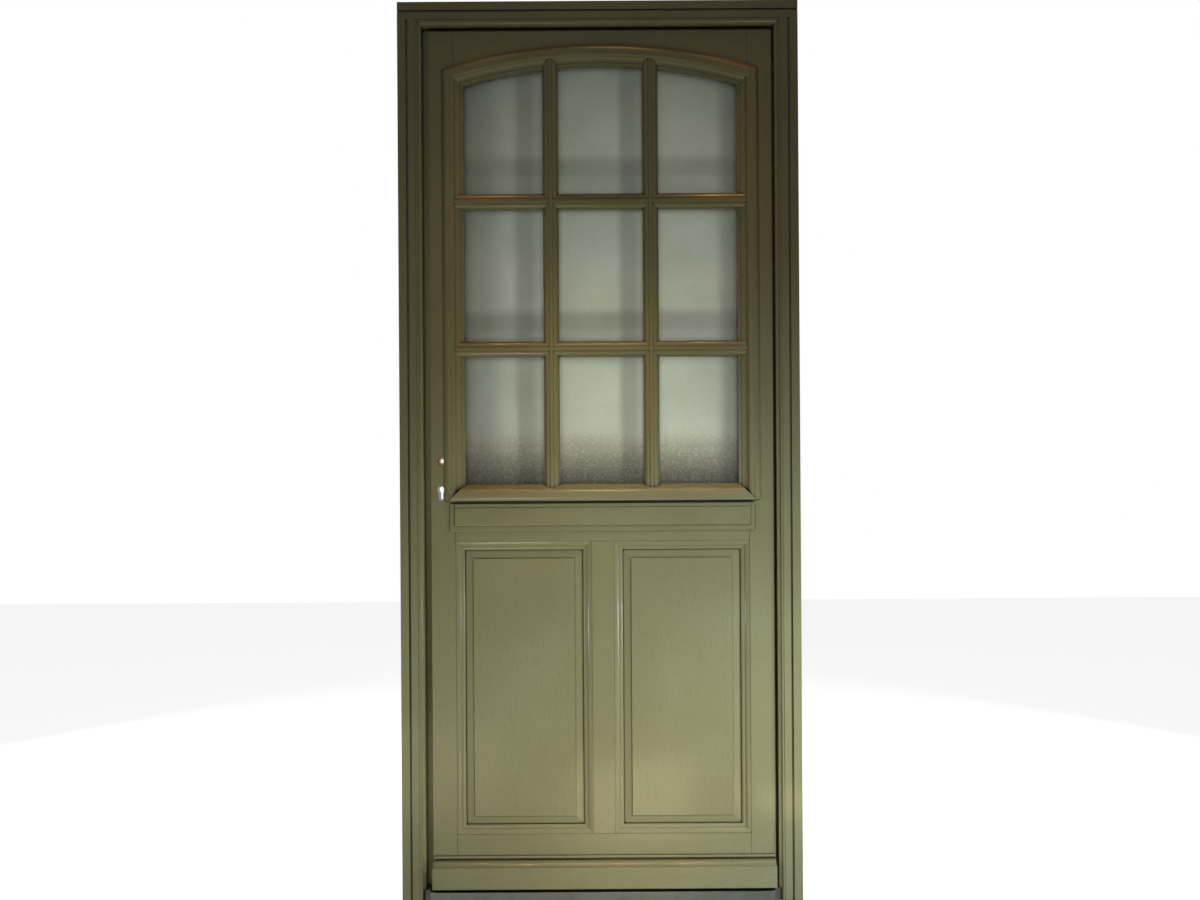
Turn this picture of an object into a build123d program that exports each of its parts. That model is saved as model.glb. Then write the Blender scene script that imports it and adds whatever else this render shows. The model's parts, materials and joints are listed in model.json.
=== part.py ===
from build123d import *
from math import radians, sqrt, tan
import os

# A half-glazed wooden entrance door in its frame. Millimetres, Z up, X to the right seen from
# outside, Y from the exterior face towards the inside. The origin is under the middle of the frame.

# Frame
frame_width = 966
frame_height = 2173
frame_depth = 74
strip_width = 20
groove_width = 5
groove_depth = 4
band_width = 17
bead_width = 5
bead_drop = 1.5
cove_width = 9
cove_depth = 10
stop_depth = 36
stop_height = 18
arris = 1

# Leaf in its frame
leaf_thickness = 56
seal_gap = 4
edge_gap = 9
lock_gap = 17.5
hinge_gap = 7.5
head_gap = 11
foot_gap = 4
foot_lap = 26

# Leaf framing
stile_face = 58
muntin_face = 53
bottom_rail_top = 160
mid_rail_height = 113
joint_line = 0.8
tenon_thickness = 18
tenon_length = 50
tenon_height = 55
tenon_shoulder = 20
tenon_gap = 0.2
tenon_end_gap = 2

# Stuck moulding round the panels
stuck_width = 21.5
stuck_quirk = 1.5
stuck_bead = 9
stuck_bead_depth = 7.5
stuck_step = 1
stuck_drop = 3.5
panel_groove_front = 15
panel_groove_width = 16
panel_groove_depth = 14
back_chamfer = 12

# Raised panels
panel_gap = 0.3
panel_end_gap = 2
panel_bevel = 21
panel_bevel_rise = 3.5
panel_field_rise = 4

# Glazing opening
spindle_over_glass_foot = 57.5
arch_radius = 1230
arch_rail = 84.5
rebate_width = 24.5
fit_gap = 0.5

# Insulating glass
pane_thickness = 4
spacer_thickness = 16
spacer_width = 11
glass_depth = 34
glass_edge_gap = 4
block_length = 100
block_inset = 60

# Raised glazing moulding, widths from the glass outwards
lip_width = 3.6
lip_depth = 25
small_bead_width = 6
small_bead_depth = 23.5
ogee_start = 8.5
ogee_start_depth = 22
ogee_end = 23
ogee_end_depth = 11
ogee_swell = 2.5
hollow_end = 29
crest_depth = 8
moulding_width = 39
cove_toe_width = 52
toe_thickness = 1

# Glazing bars
bar_width = 38
bar_column_share = 0.3645
bar_row_share = 0.3235
bar_edge_depth = 27
bar_ledge = 2.5
bar_ovolo_foot_depth = 24.4
bar_ovolo_swell = 3
bar_fillet_width = 7
bar_fillet_depth = 12
bar_step = 3
bar_step_slope = 1.5
bar_lap = 22
bead_depth_inside = 16
bead_chamfer = 9
inner_bar_depth = 12
inner_bar_chamfer = 8
inner_bar_edge = 4

# Sill moulding under the glass
sill_slope = 10.5
sill_slope_depth = 5
sill_projection = 22
sill_height = 39
sill_nose_drop = 24
drip_groove = 4
sill_tongue = 3
sill_nose_under = 3

# Belt plaque
plaque_gap = 7.5
plaque_height = 68.5
plaque_lap = 36.5
plaque_base = 5
plaque_field = 5
plaque_margin = 10
plaque_foot_margin = 15
plaque_ogee = 4
plaque_bead = 8
plaque_groove = 1.2

# Weatherboard
board_bottom = 38
board_top = 109
board_end_gap = 1.5
board_projection = 42
board_face_top = 90
board_crest = 97
board_bead = 5
board_quirk = 5
board_quirk_depth = 3
board_nose_radius = 3
board_drip = 6
board_round = 3

# Threshold
threshold_height = 28
threshold_tread = 8
threshold_nose = 4
threshold_nose_radius = 5
upstand_height = 33
upstand_thickness = 6
cap_thickness = 12

# Seals
seal_width = 6
seal_clearance = 0.3

# Lock
spindle_height = 1065
lock_centres = 70
backset = 50
spindle_hole = 20
follower_diameter = 18
follower_gap = 0.05
follower_square = 8.2
profile_diameter = 17.6
profile_leg = 10.8
profile_height = 33.6
case_thickness = 16
case_depth = 72
case_above = 65
case_below = 110
pocket_gap = 0.3
faceplate_width = 20
faceplate_thickness = 3
faceplate_bottom = 330
faceplate_drop = 276
latch_height = 34
latch_thickness = 12
latch_length = 38
latch_below = 4
bolt_height = 34
bolt_thickness = 12
bolt_length = 36
bolt_below = 96
slide_gap = 0.3
bolt_inset = 0.5
hook_foot = 480
hook_drop = 406
hook_thickness = 6
hook_reach = 35
hook_arm = 12
hook_nose = 8
hook_nose_thickness = 5
hook_pivot_inset = 17
hook_pin_diameter = 6
hook_pin_gap = 0.05
hook_case_depth = 40
hook_case_half = 45

# Strike plates
strike_width = 24
strike_thickness = 3
strike_margin = 22
strike_gap = 3
main_pocket_depth = 24
hook_pocket_depth = 16

# Hinges
hinge_foot = 260
hinge_drop = 196
knuckle_diameter = 14
knuckle_length = 50
knuckle_set = 8
pin_diameter = 8
pin_gap = 0.05
ring_thickness = 1.5
ring_gap = 0.1
pin_inset = 2
flag_thickness = 3
flag_width = 26
flag_gap = 0.15

# Screws
screw_head = 4.2
screw_shank = 2
screw_length = 30
screw_gap = 0.05
countersink = 82
fixing_hole = 10
fixing_foot = 350
fixing_drop = 286
fixing_under_spindle = 215
fixing_over_spindle = 185

# Worked out from the sizes above
frame_half = frame_width / 2
jamb_face = strip_width + groove_width + band_width + bead_width + cove_width
reveal = frame_half - jamb_face
rebate = reveal + stop_height
band_edge = frame_half - strip_width - groove_width - band_width
head_band_edge = frame_height - (frame_half - band_edge)
head_reveal = frame_height - jamb_face
head_rebate = head_reveal + stop_height
leaf_face = frame_depth - leaf_thickness
leaf_rebate = stop_depth + seal_gap
leaf_left = lock_gap - reveal
leaf_right = reveal - hinge_gap
centre = (leaf_left + leaf_right) / 2
edge_half = rebate - edge_gap
leaf_head = head_reveal - head_gap
leaf_head_edge = head_rebate - edge_gap
leaf_foot_edge = threshold_tread + foot_gap
leaf_foot = leaf_foot_edge + foot_lap
opening_left = leaf_left + stile_face
opening_right = leaf_right - stile_face
opening_half = (opening_right - opening_left) / 2
muntin_half = muntin_face / 2
glass_half_width = opening_half - rebate_width
glass_foot = spindle_height - spindle_over_glass_foot
arch_crown = leaf_head - arch_rail
arch_centre = arch_crown - arch_radius
mid_rail_top = glass_foot - rebate_width
mid_rail_bottom = mid_rail_top - mid_rail_height
bar_spacing = bar_column_share * glass_half_width
bar_lower = glass_foot + bar_row_share * (arch_crown - glass_foot)
bar_upper = arch_crown - bar_row_share * (arch_crown - glass_foot)
plaque_top = glass_foot - sill_height - plaque_gap
plaque_bottom = plaque_top - plaque_height
plaque_half_width = glass_half_width + plaque_lap
board_half_width = (leaf_right - leaf_left) / 2 - board_end_gap
faceplate_top = leaf_head - faceplate_drop
hook_heights = (hook_foot, leaf_head - hook_drop)
hinge_heights = (hinge_foot, (hinge_foot + leaf_head - hinge_drop) / 2, leaf_head - hinge_drop)
fixing_heights = (
    fixing_foot, spindle_height - fixing_under_spindle, spindle_height + fixing_over_spindle,
    leaf_head - fixing_drop,
)
glass_back = glass_depth + 2 * pane_thickness + spacer_thickness
lock_middle = (leaf_rebate + frame_depth) / 2
spindle_x = backset - edge_half
cylinder_height = spindle_height - lock_centres
lock_face = faceplate_thickness - edge_half
hinge_y = frame_depth + knuckle_set
hinge_x = (edge_half + rebate) / 2
tenon_front = (leaf_face + frame_depth) / 2 - tenon_thickness / 2 + arris
tenon_back = tenon_front + tenon_thickness

FORWARD = Vector(0, -1, 0)
LEFT, RIGHT, UP, DOWN = Vector(-1, 0, 0), Vector(1, 0, 0), Vector(0, 0, 1), Vector(0, 0, -1)


def block(x, y, z, mode=Mode.ADD):
    """A block between two limits along each axis."""
    with Locations((sum(x) / 2, sum(y) / 2, sum(z) / 2)):
        return Box(x[1] - x[0], y[1] - y[0], z[1] - z[0], mode=mode)


def run_plane(x, z, outward):
    """A section plane at a sight corner: its x points away from the opening, its y to the outside."""
    return Plane(origin=(x, 0, z), x_dir=outward, z_dir=outward.cross(FORWARD))


def save(part, name):
    part.label = name
    export_step(part, f"parts/{name}.step")


# Sections. Each is drawn as (distance out from the opening, minus the depth from the frame's face).


def frame_section(plane):
    """Jamb and head: strip, groove, band, bead and cove, then the reveal, the stop and the rebate."""
    cove = cove_width
    bead = cove + bead_width
    band = bead + band_width
    groove = band + groove_width
    with BuildSketch(plane) as section:
        with BuildLine():
            Polyline(
                (cove, -2 * bead_drop), (cove, -bead_drop), (bead, -bead_drop), (bead, 0), (band, 0),
                (band, -groove_depth), (groove, -groove_depth), (groove, 0), (jamb_face, 0),
                (jamb_face, -frame_depth), (stop_height, -frame_depth), (stop_height, -stop_depth),
                (0, -stop_depth), (0, -cove_depth),
            )
            SagittaArc((0, -cove_depth), (cove, -2 * bead_drop), -bead_drop)
        make_face()
    return section.sketch


def stuck_section(plane):
    """Ovolo and bead on the outside, the panel groove behind them and a splayed lip at the back."""
    quirk = leaf_face + stuck_quirk
    bead = leaf_face + stuck_bead_depth
    front = leaf_face + panel_groove_front
    back = front + panel_groove_width
    with BuildSketch(plane) as section:
        with BuildLine():
            Line((stuck_width, -quirk), (stuck_width - arris, -quirk))
            SagittaArc((stuck_width - arris, -quirk), (stuck_bead, -bead + stuck_step), -stuck_step)
            Line((stuck_bead, -bead + stuck_step), (stuck_bead, -bead))
            SagittaArc((stuck_bead, -bead), (0, -bead - stuck_drop), -stuck_step)
            Polyline(
                (0, -bead - stuck_drop), (0, -front), (panel_groove_depth, -front),
                (panel_groove_depth, -back), (0, -back), (0, -frame_depth + back_chamfer),
                (back_chamfer, -frame_depth), (stuck_width, -frame_depth), (stuck_width, -quirk),
            )
        make_face()
    return section.sketch


def glazing_section(plane):
    """Raised moulding round the glass: lip, bead, ogee, crest and an outer cove down to the leaf."""
    seat = rebate_width - fit_gap
    toe = leaf_face - toe_thickness
    with BuildSketch(plane) as section:
        with BuildLine():
            Polyline(
                (ogee_start, -ogee_start_depth), (ogee_start, -small_bead_depth),
                (small_bead_width, -small_bead_depth),
            )
            SagittaArc((small_bead_width, -small_bead_depth), (lip_width, -lip_depth), arris / 2)
            Polyline(
                (lip_width, -lip_depth), (0, -lip_depth), (0, -glass_depth), (seat, -glass_depth),
                (seat, -leaf_face), (cove_toe_width, -leaf_face), (cove_toe_width, -toe),
            )
            SagittaArc((cove_toe_width, -toe), (moulding_width, -crest_depth), -arris)
            SagittaArc((moulding_width, -crest_depth), (hollow_end, -crest_depth), arris)
            SagittaArc((hollow_end, -crest_depth), (ogee_end, -ogee_end_depth), -arris / 2)
            SagittaArc((ogee_end, -ogee_end_depth), (ogee_start, -ogee_start_depth), ogee_swell)
        make_face()
    return section.sketch


def sill_section(plane):
    """Sill: a sloping top, a bullnose, a drip groove under it, and a tongue up against the glass."""
    seat = rebate_width - fit_gap
    nose = leaf_face - sill_projection
    under = nose + sill_nose_under
    groove = under + drip_groove
    tongue = glass_depth - sill_tongue
    with BuildSketch(plane) as section:
        with BuildLine():
            Line((0, -tongue), (sill_slope, -sill_slope_depth))
            ThreePointArc((sill_slope, -sill_slope_depth), (sill_nose_drop, -nose), (sill_height, -under))
            Polyline(
                (sill_height, -under), (sill_height, -groove), (sill_height - drip_groove, -groove),
                (sill_height - drip_groove, -groove - drip_groove), (sill_height, -groove - drip_groove),
                (sill_height, -leaf_face), (seat, -leaf_face), (seat, -glass_depth), (0, -glass_depth),
                (0, -tongue),
            )
        make_face()
    return section.sketch


def glazing_bead_section(plane):
    """Bead that holds the glass from inside."""
    seat = rebate_width - fit_gap
    with BuildSketch(plane) as section:
        with BuildLine():
            Polyline(
                (0, -glass_back), (seat, -glass_back), (seat, -glass_back - bead_depth_inside + arris),
                (bead_chamfer, -glass_back - bead_depth_inside + arris), (0, -glass_back - bead_chamfer),
                close=True,
            )
        make_face()
    return section.sketch


def bar_section(plane):
    """Glazing bar outside: a middle fillet on sloping steps, an ovolo and a ledge on each side."""
    half, fillet_half = bar_width / 2, bar_fillet_width / 2
    ovolo_foot = half - bar_ledge
    ovolo_top = fillet_half + bar_step_slope
    step_depth = bar_fillet_depth + bar_step
    with BuildSketch(plane) as section:
        with BuildLine():
            Polyline(
                (0, -glass_depth), (half, -glass_depth), (half, -bar_edge_depth),
                (ovolo_foot, -bar_edge_depth + arris / 2), (ovolo_foot, -bar_ovolo_foot_depth),
            )
            SagittaArc((ovolo_foot, -bar_ovolo_foot_depth), (ovolo_top, -step_depth), -bar_ovolo_swell)
            Polyline(
                (ovolo_top, -step_depth), (fillet_half, -bar_fillet_depth), (0, -bar_fillet_depth),
                (0, -glass_depth),
            )
        make_face()
        mirror(about=Plane.YZ)
    return section.sketch


def inner_bar_section(plane):
    """Glazing bar inside: a plain chamfered bar."""
    half = bar_width / 2
    top = glass_back + inner_bar_depth
    with BuildSketch(plane) as section:
        with BuildLine():
            Polyline(
                (-half, -glass_back), (half, -glass_back), (half, -glass_back - inner_bar_edge),
                (half - inner_bar_chamfer, -top), (inner_bar_chamfer - half, -top),
                (-half, -glass_back - inner_bar_edge), close=True,
            )
        make_face()
    return section.sketch


def mitred_run(section, width, x, z, outward, length):
    """A straight moulding between two sight corners, cut at 45 degrees at each end."""
    along = outward.cross(FORWARD)
    start = Vector(x, 0, z)
    end = start + along * length
    origin = start - along * width
    with BuildPart() as run:
        extrude(section(run_plane(origin.X, origin.Z, outward)), amount=length + 2 * width)
        split(bisect_by=Plane(origin=start, x_dir=(0, 1, 0), z_dir=outward + along), keep=Keep.TOP)
        split(bisect_by=Plane(origin=end, x_dir=(0, 1, 0), z_dir=outward - along), keep=Keep.TOP)
    return run.part


def arched_face(half_width, foot, radius, y):
    """Outline of an opening or a pane: upright sides, level foot and arched head, facing outside."""
    height = arch_centre + radius - foot
    with BuildSketch(Plane.XZ.offset(-y)) as outline:
        with Locations((centre, foot + height / 2)):
            Rectangle(2 * half_width, height)
        with Locations((centre, arch_centre)):
            Circle(radius, mode=Mode.INTERSECT)
    return outline.sketch


def arch_height(half_width, radius):
    """Height of an arc of this radius above a point off the middle."""
    return arch_centre + sqrt(radius**2 - half_width**2)


# Sight corners of the glass, and the mitre line from each upper corner outwards
spring = arch_height(glass_half_width, arch_radius)
spring_outer = arch_height(glass_half_width + moulding_width, arch_radius + moulding_width)
sight_left, sight_right = centre - glass_half_width, centre + glass_half_width
mitre_rise = (spring_outer - spring) / moulding_width
mitre_left = Plane(origin=(sight_left, 0, spring), x_dir=(0, 1, 0), z_dir=(mitre_rise, 0, 1))
mitre_right = Plane(origin=(sight_right, 0, spring), x_dir=(0, 1, 0), z_dir=(-mitre_rise, 0, 1))


def arch_run(section, width):
    """A moulding turned round the arch and cut on the two upper mitre lines."""
    reach = 3 * width
    with BuildPart() as run:
        revolve(
            section(run_plane(centre, arch_crown, UP)),
            axis=Axis((centre, 0, arch_centre), (0, 1, 0)),
        )
        with BuildSketch(Plane.XZ) as wedge:
            with BuildLine():
                Polyline(
                    (sight_left, spring), (sight_left - reach, spring + mitre_rise * reach),
                    (sight_left - reach, arch_crown + reach), (sight_right + reach, arch_crown + reach),
                    (sight_right + reach, spring + mitre_rise * reach), (sight_right, spring),
                    close=True,
                )
            make_face()
        extrude(amount=frame_depth, both=True, mode=Mode.INTERSECT)
    return run.part


def side_run(section, outward, foot_cut):
    """A straight side of the glazing surround, up to the mitre under the arch."""
    at_left = outward == LEFT
    x = sight_left if at_left else sight_right
    mitre = mitre_left if at_left else mitre_right
    foot = Plane(origin=(x, 0, glass_foot), x_dir=(0, 1, 0), z_dir=outward + UP)
    with BuildPart() as run:
        extrude(
            section(run_plane(x, foot_cut if at_left else arch_crown, outward)),
            amount=arch_crown - foot_cut,
        )
        split(bisect_by=foot, keep=Keep.TOP)
        split(bisect_by=mitre, keep=Keep.BOTTOM)
    return run.part


def panel_runs(left, right):
    """The four mitred sides of a panel opening, by name."""
    foot, head = bottom_rail_top + stuck_width, mid_rail_bottom - stuck_width
    tall, wide = head - foot, right - left
    return {
        "left": mitred_run(stuck_section, stuck_width, left, foot, LEFT, tall),
        "top": mitred_run(stuck_section, stuck_width, left, head, UP, wide),
        "right": mitred_run(stuck_section, stuck_width, right, head, RIGHT, tall),
        "foot": mitred_run(stuck_section, stuck_width, right, foot, DOWN, wide),
    }


def tenon(x, z):
    """A tenon, drawn in the middle of the leaf's thickness."""
    block(x, (tenon_front, tenon_back), z)


def mortise(x, z):
    """The mortise that takes a tenon of these limits."""
    y = (tenon_front - tenon_gap, tenon_back + tenon_gap)
    block(x, y, (z[0] - tenon_gap, z[1] + tenon_gap), mode=Mode.SUBTRACT)


def screw_hole(point, out, depth=screw_length):
    """A countersunk hole for one screw whose head is at the point."""
    with Locations(Plane(origin=point, z_dir=out)):
        CounterSinkHole(
            screw_shank + screw_gap, screw_head + screw_gap, depth=depth + screw_gap,
            counter_sink_angle=countersink,
        )


def screw(point, out, length=screw_length):
    """A countersunk wood screw with its head at the point."""
    head = (screw_head - screw_shank) / tan(radians(countersink / 2))
    with Locations(Plane(origin=point, z_dir=out)):
        Cone(screw_shank, screw_head, head, align=(Align.CENTER, Align.CENTER, Align.MAX))
        Cylinder(screw_shank, length, align=(Align.CENTER, Align.CENTER, Align.MAX))


def profile_hole(y):
    """The keyhole-shaped opening for a profile cylinder, through two depths."""
    radius, leg = profile_diameter / 2, profile_leg / 2
    foot = cylinder_height + radius - profile_height + leg
    with BuildSketch(Plane.XZ.offset(-y[1])) as opening:
        with Locations((spindle_x, cylinder_height)):
            Circle(radius)
        with Locations((spindle_x, (cylinder_height + foot) / 2)):
            Rectangle(profile_leg, cylinder_height - foot)
        with Locations((spindle_x, foot)):
            Circle(leg)
    return extrude(opening.sketch, amount=y[1] - y[0], mode=Mode.SUBTRACT)


# Screw places
edge_screws = (-knuckle_length / 3, 0, knuckle_length / 3)
hinge_screw_depth = frame_depth - flag_width / 2
leaf_half_lift = ring_thickness + ring_gap
leaf_screw_points = [
    (edge_half, hinge_screw_depth, height + leaf_half_lift + knuckle_length / 2 + step)
    for height in hinge_heights for step in edge_screws
]
frame_screw_points = [
    (rebate, hinge_screw_depth, height - knuckle_length / 2 + step)
    for height in hinge_heights for step in edge_screws
]
main_strike = (spindle_height - bolt_below - strike_margin - strike_gap,
               spindle_height + latch_height + strike_margin)
hook_strikes = [
    (height - hook_reach - strike_margin, height + hook_arm + strike_margin) for height in hook_heights
]
strike_screw_points = [
    (-rebate, lock_middle, z)
    for low, high in [main_strike, *hook_strikes]
    for z in (low + strike_margin / 2, high - strike_margin / 2)
]
faceplate_screw_points = [
    (-edge_half, lock_middle, z)
    for z in (faceplate_bottom + strike_margin / 2, faceplate_top - strike_margin / 2)
]

# Openings for the bolts, as height limits
latch_z = (spindle_height - latch_below, spindle_height - latch_below + latch_height)
bolt_z = (spindle_height - bolt_below, spindle_height - bolt_below + bolt_height)
hook_z = [(height - hook_reach - strike_gap, height + hook_arm / 2 + strike_gap) for height in hook_heights]


os.makedirs("parts", exist_ok=True)

# Frame: two jambs under a head, moulding mitred, tenons up into the head
jamb_tenon_x = (band_edge + arris, frame_half - strip_width)
jamb_tenon_y = (stop_depth + arris, stop_depth + arris + tenon_thickness)
pocket_y = (lock_middle - bolt_thickness / 2 - strike_gap, lock_middle + bolt_thickness / 2 + strike_gap)
hook_y = (lock_middle - hook_thickness / 2 - strike_gap, lock_middle + hook_thickness / 2 + strike_gap)
strike_y = (lock_middle - strike_width / 2, lock_middle + strike_width / 2)


def upper(z, gap):
    """Height limits opened by a gap at both ends."""
    return (z[0] - gap, z[1] + gap)


def laminated(part):
    """A frame member as glued up: a front lamination as deep as the stop and a back one."""
    halves = part.split(Plane.XZ.offset(-stop_depth), keep=Keep.BOTH)
    return Compound([solid for half in halves for solid in half.solids()])


def jamb(outward):
    """One jamb, its top square under the head's band and mitred to the head's moulding."""
    x = outward.X * reveal
    start = 0 if outward == LEFT else head_band_edge
    tongue = sorted(outward.X * limit for limit in jamb_tenon_x)
    with BuildPart() as post:
        extrude(frame_section(run_plane(x, start, outward)), amount=head_band_edge)
        split(
            bisect_by=Plane(origin=(x, 0, head_reveal), x_dir=(0, 1, 0), z_dir=outward - UP),
            keep=Keep.TOP,
        )
        block(tongue, jamb_tenon_y, (head_band_edge, head_band_edge + tenon_length / 2))
        for height in fixing_heights:
            with Locations(Plane(origin=(outward.X * rebate, lock_middle, height), z_dir=-outward)):
                Hole(fixing_hole / 2, depth=frame_half - rebate + arris)
    return post.part


with BuildPart() as frame_jamb_lock_side:
    add(jamb(LEFT))
    for low, high in [main_strike, *hook_strikes]:
        block((-rebate - strike_thickness, -rebate), strike_y, (low, high), mode=Mode.SUBTRACT)
    for z in (latch_z, bolt_z):
        block((-rebate - main_pocket_depth, -rebate), pocket_y, upper(z, strike_gap), mode=Mode.SUBTRACT)
    for height in hook_heights:
        reach = (height - hook_reach - strike_gap, height + hook_arm / 2 + hook_nose + strike_gap)
        block((-rebate - hook_pocket_depth, -rebate), hook_y, reach, mode=Mode.SUBTRACT)
    for point in strike_screw_points:
        screw_hole(point, RIGHT)
save(laminated(frame_jamb_lock_side.part), "frame_jamb_lock_side")

with BuildPart() as frame_jamb_hinge_side:
    add(jamb(RIGHT))
    for height in hinge_heights:
        block(
            (rebate, rebate + flag_thickness), (frame_depth - flag_width - flag_gap, frame_depth),
            (height - knuckle_length - flag_gap, height + flag_gap), mode=Mode.SUBTRACT,
        )
    for point in frame_screw_points:
        screw_hole(point, LEFT)
save(laminated(frame_jamb_hinge_side.part), "frame_jamb_hinge_side")

with BuildPart() as frame_head:
    extrude(frame_section(run_plane(-frame_half, head_reveal, UP)), amount=frame_width)
    with BuildSketch(Plane.XZ) as jamb_tops:
        with BuildLine():
            Polyline(
                (reveal, head_reveal), (band_edge, head_band_edge), (frame_half, head_band_edge),
                (frame_half, head_reveal), close=True,
            )
        make_face()
        mirror(about=Plane.YZ)
    extrude(amount=-frame_depth, mode=Mode.SUBTRACT)
    for sign in (-1, 1):
        socket = sorted(sign * limit for limit in (jamb_tenon_x[0] - tenon_gap, jamb_tenon_x[1] + tenon_gap))
        block(
            socket, (jamb_tenon_y[0] - tenon_gap, jamb_tenon_y[1] + tenon_gap),
            (head_band_edge, head_band_edge + tenon_length / 2 + tenon_end_gap), mode=Mode.SUBTRACT,
        )
save(laminated(frame_head.part), "frame_head")

# Threshold: a sloping nose, an upstand behind the leaf's face and a low tread inside
with BuildPart() as threshold:
    front_half = reveal - cap_thickness
    with BuildSketch(Plane.YZ.offset(-front_half)):
        with BuildLine():
            Polyline(
                (-threshold_nose, threshold_height - threshold_nose_radius), (-threshold_nose, 0),
                (frame_depth, 0), (frame_depth, threshold_tread), (stop_depth, threshold_tread),
                (stop_depth, upstand_height), (stop_depth - upstand_thickness, upstand_height),
                (stop_depth - upstand_thickness, threshold_height + arris),
                (threshold_nose_radius - threshold_nose, threshold_height),
            )
            RadiusArc(
                (threshold_nose_radius - threshold_nose, threshold_height),
                (-threshold_nose, threshold_height - threshold_nose_radius), -threshold_nose_radius,
            )
        make_face()
    extrude(amount=2 * front_half)
    block((-edge_half, edge_half), (leaf_rebate, frame_depth), (0, threshold_tread))
save(threshold.part, "threshold")

with BuildPart() as threshold_end_caps:
    for sign in (-1, 1):
        front = sorted((sign * reveal, sign * (reveal - cap_thickness)))
        back = sorted((sign * rebate, sign * edge_half))
        link = sorted((sign * rebate, sign * (reveal - cap_thickness)))
        block(front, (-threshold_nose / 2, stop_depth), (0, upstand_height))
        block(link, (stop_depth, leaf_rebate), (0, threshold_tread))
        block(back, (leaf_rebate, frame_depth), (0, threshold_tread))
save(threshold_end_caps.part, "threshold_end_caps")


def seal_section(plane):
    """Weather seal: a flat foot on the stop and a round nose that meets the leaf."""
    half = seal_width / 2
    nose = leaf_rebate - seal_clearance
    with BuildSketch(plane) as section:
        with BuildLine():
            Polyline(
                (-half, -nose + half - arris), (-half, -stop_depth), (half, -stop_depth),
                (half, -nose + half - arris),
            )
            ThreePointArc((half, -nose + half - arris), (0, -nose), (-half, -nose + half - arris))
        make_face()
    return section.sketch


seal_line = (edge_half - reveal) / 2
with BuildPart() as frame_seal:
    seal_x, seal_top = reveal + seal_line, head_reveal + seal_line
    with BuildLine() as seal_path:
        Polyline(
            (-seal_x, 0, upstand_height), (-seal_x, 0, seal_top), (seal_x, 0, seal_top),
            (seal_x, 0, upstand_height),
        )
    sweep(
        seal_section(run_plane(-seal_x, upstand_height, LEFT)), path=seal_path.line,
        transition=Transition.RIGHT,
    )
save(frame_seal.part, "frame_seal")

with BuildPart() as threshold_seal:
    sill_half = reveal - cap_thickness
    extrude(seal_section(run_plane(-sill_half, upstand_height - seal_width, UP)), amount=2 * sill_half)
save(threshold_seal.part, "threshold_seal")


def strike(limits, openings):
    """A strike plate let into the jamb, with its openings and two countersunk holes."""
    with BuildPart() as plate:
        block((-rebate - strike_thickness, -rebate), strike_y, limits)
        for y, z in openings:
            block((-rebate - strike_thickness, -rebate), y, z, mode=Mode.SUBTRACT)
        for z in (limits[0] + strike_margin / 2, limits[1] - strike_margin / 2):
            screw_hole((-rebate, lock_middle, z), RIGHT)
    return plate.part


save(strike(main_strike, [(pocket_y, upper(z, strike_gap)) for z in (latch_z, bolt_z)]), "strike_plate_main")
for name, limits, z in zip(("lower", "upper"), hook_strikes, hook_z):
    save(strike(limits, [(hook_y, z)]), f"strike_plate_{name}")

# Leaf framing


def stile(outward, runs):
    """A stile: a thin outer part, a wider part behind the stop, and its stuck mouldings."""
    inner = opening_left if outward == LEFT else opening_right
    face = leaf_left if outward == LEFT else leaf_right
    edge = outward.X * edge_half
    with BuildPart() as upright:
        block(sorted((inner, face)), (leaf_face, leaf_rebate), (leaf_foot, leaf_head))
        block(sorted((inner, edge)), (leaf_rebate, frame_depth), (leaf_foot_edge, leaf_head_edge))
        for run in runs:
            add(run)
        for z in rail_tenons:
            mortise(sorted((inner, inner + outward.X * (tenon_length + tenon_end_gap))), z)
    return upright.part


rail_tenons = [
    (leaf_foot + tenon_shoulder, bottom_rail_top - tenon_shoulder),
    (mid_rail_bottom + tenon_shoulder, mid_rail_bottom + tenon_shoulder + tenon_height),
    (leaf_head - tenon_shoulder - tenon_height, leaf_head - tenon_shoulder),
]
left_runs = panel_runs(opening_left + stuck_width, centre - muntin_half - stuck_width)
right_runs = panel_runs(centre + muntin_half + stuck_width, opening_right - stuck_width)
case_y = (lock_middle - case_thickness / 2, lock_middle + case_thickness / 2)
case_x = (lock_face, lock_face + case_depth)
case_z = (spindle_height - case_below, spindle_height + case_above)
hook_case_x = (lock_face, lock_face + hook_case_depth)

with BuildPart() as stile_lock_side:
    add(stile(LEFT, [left_runs["left"]]))
    block(
        (-edge_half, lock_face), (lock_middle - faceplate_width / 2, lock_middle + faceplate_width / 2),
        (faceplate_bottom, faceplate_top), mode=Mode.SUBTRACT,
    )
    pocket = (case_y[0] - pocket_gap, case_y[1] + pocket_gap)
    block((case_x[0], case_x[1] + pocket_gap), pocket, upper(case_z, pocket_gap), mode=Mode.SUBTRACT)
    for height in hook_heights:
        z = (height - hook_case_half, height + hook_case_half)
        block((hook_case_x[0], hook_case_x[1] + pocket_gap), pocket, upper(z, pocket_gap), mode=Mode.SUBTRACT)
    with Locations(Plane(origin=(spindle_x, leaf_face, spindle_height), z_dir=FORWARD)):
        Hole(spindle_hole / 2, depth=leaf_thickness)
    profile_hole((leaf_face, frame_depth))
    for point in faceplate_screw_points:
        screw_hole(point, LEFT)
save(stile_lock_side.part, "stile_lock_side")

with BuildPart() as stile_hinge_side:
    add(stile(RIGHT, [right_runs["right"]]))
    for height in hinge_heights:
        foot = height + leaf_half_lift
        block(
            (edge_half - flag_thickness, edge_half), (frame_depth - flag_width - flag_gap, frame_depth),
            (foot - flag_gap, foot + knuckle_length + flag_gap), mode=Mode.SUBTRACT,
        )
    for point in leaf_screw_points:
        screw_hole(point, RIGHT)
save(stile_hinge_side.part, "stile_hinge_side")


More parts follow.
